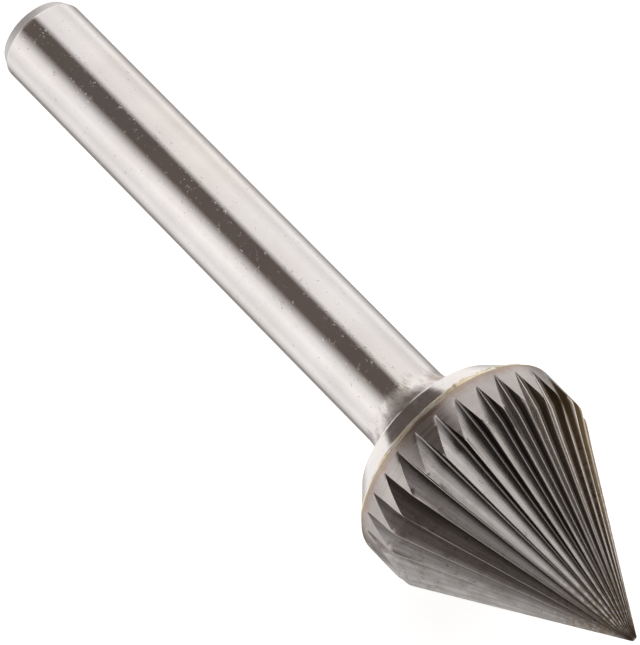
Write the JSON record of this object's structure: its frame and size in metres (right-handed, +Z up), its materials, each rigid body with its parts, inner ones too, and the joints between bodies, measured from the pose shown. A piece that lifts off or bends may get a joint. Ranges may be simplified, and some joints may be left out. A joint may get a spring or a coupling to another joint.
{
  "type": "rotary burr",
  "caption": "Cone-shaped cutting bit for a die grinder: a fluted carbide head with a blunt point, brazed to the flared end of a plain round steel shank.",
  "frame": {"origin": "centre of the shank's flat rear face", "axes": "+X along the axis of rotation, from the shank's rear face to the cutting tip; +Z up, as the burr is held level by its shank"},
  "size_m": [0.0635, 0.016, 0.016],
  "materials": {
    "shank_steel": "bright centreless-ground steel with fine scratches and a faint straw tint by the head",
    "braze_alloy": "pale golden silver-solder seam, slightly uneven",
    "carbide": "diamond-ground cemented carbide, satin grey with heat tint behind the flutes"
  },
  "bodies": {
    "root": {"shank": "shank_steel", "braze_joint": "braze_alloy", "fluted_head": "carbide"}
  },
  "joints": []
}
